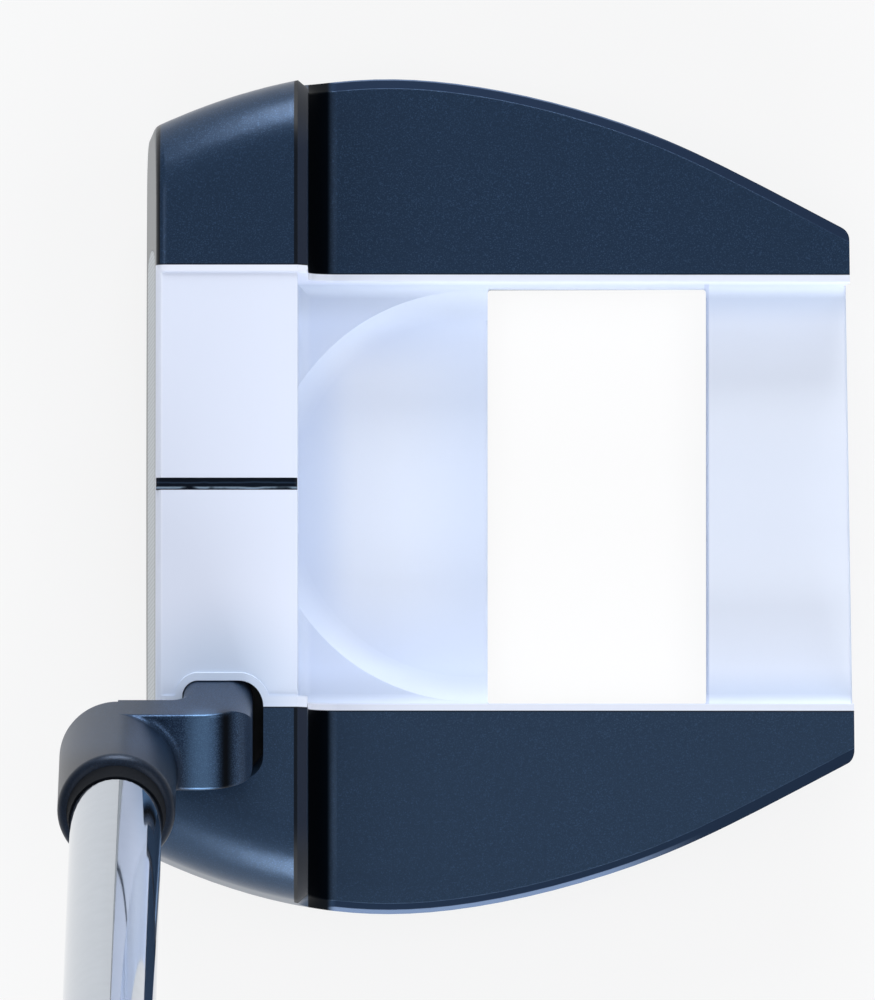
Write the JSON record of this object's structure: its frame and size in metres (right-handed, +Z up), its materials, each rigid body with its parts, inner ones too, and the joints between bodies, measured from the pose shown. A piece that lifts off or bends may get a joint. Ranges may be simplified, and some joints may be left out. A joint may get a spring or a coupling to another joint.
{
  "type": "golf putter",
  "caption": "Mallet putter with a milled half-disc head, sight line, ball scoop with a see-through window, crank hosel, face insert and screw-in sole weights.",
  "frame": {"origin": "on the flat land of the sole, under the middle of the front bar's sight line", "axes": "+X back from the face, +Y from heel to toe, +Z up; the shaft leans to the heel at its lie angle"},
  "size_m": [0.0901, 0.3708, 0.8154],
  "materials": {
    "head": "satin navy coat over milled steel",
    "insert": "fine textured light grey",
    "backer": "matte elastomer",
    "tape": "adhesive film",
    "sight_line": "glossy black resin",
    "hosel": "bead-blasted steel",
    "epoxy": "cured adhesive",
    "screw": "plain steel",
    "ferrule": "polished black",
    "shaft": "chrome plated",
    "plug": "matte",
    "weight": "turned steel",
    "ring": "matte",
    "grip": "matte, lightly textured",
    "grip_tape": "double-sided tape"
  },
  "bodies": {
    "club": {"head_body": "head", "face_insert": "insert", "insert_backer": "backer", "insert_bond": "tape", "alignment_inlay": "sight_line", "crank_hosel": "hosel", "hosel_bond": "epoxy", "hosel_screw": "screw", "ferrule": "ferrule", "shaft": "shaft", "shaft_bond": "epoxy", "tip_plug": "plug", "grip": "grip", "grip_cap": "grip", "grip_tape": "grip_tape"},
    "heel_lift": {"heel_weight_ring": "ring"},
    "heel_weight": {"heel_weight": "weight"},
    "toe_lift": {"toe_weight_ring": "ring"},
    "toe_weight": {"toe_weight": "weight"}
  },
  "joints": [
    {"name": "heel_weight_lift", "type": "slide", "parent": "club", "child": "heel_lift", "axis": [0, 0, -1], "range_m": [0, 0.007]},
    {"name": "heel_weight_turn", "type": "hinge", "parent": "heel_lift", "child": "heel_weight", "pos_m": [0.0004, -0.0324, 0.004], "axis": [0, 0, -1], "range_deg": [0, 2520]},
    {"name": "toe_weight_lift", "type": "slide", "parent": "club", "child": "toe_lift", "axis": [0, 0, -1], "range_m": [0, 0.007]},
    {"name": "toe_weight_turn", "type": "hinge", "parent": "toe_lift", "child": "toe_weight", "pos_m": [0.0004, 0.0324, 0.004], "axis": [0, 0, -1], "range_deg": [0, 2520]}
  ],
  "couplings": [
    {"joint": "heel_weight_turn", "follows": "heel_weight_lift", "rad_per_m": 6283.2},
    {"joint": "toe_weight_turn", "follows": "toe_weight_lift", "rad_per_m": 6283.2}
  ]
}
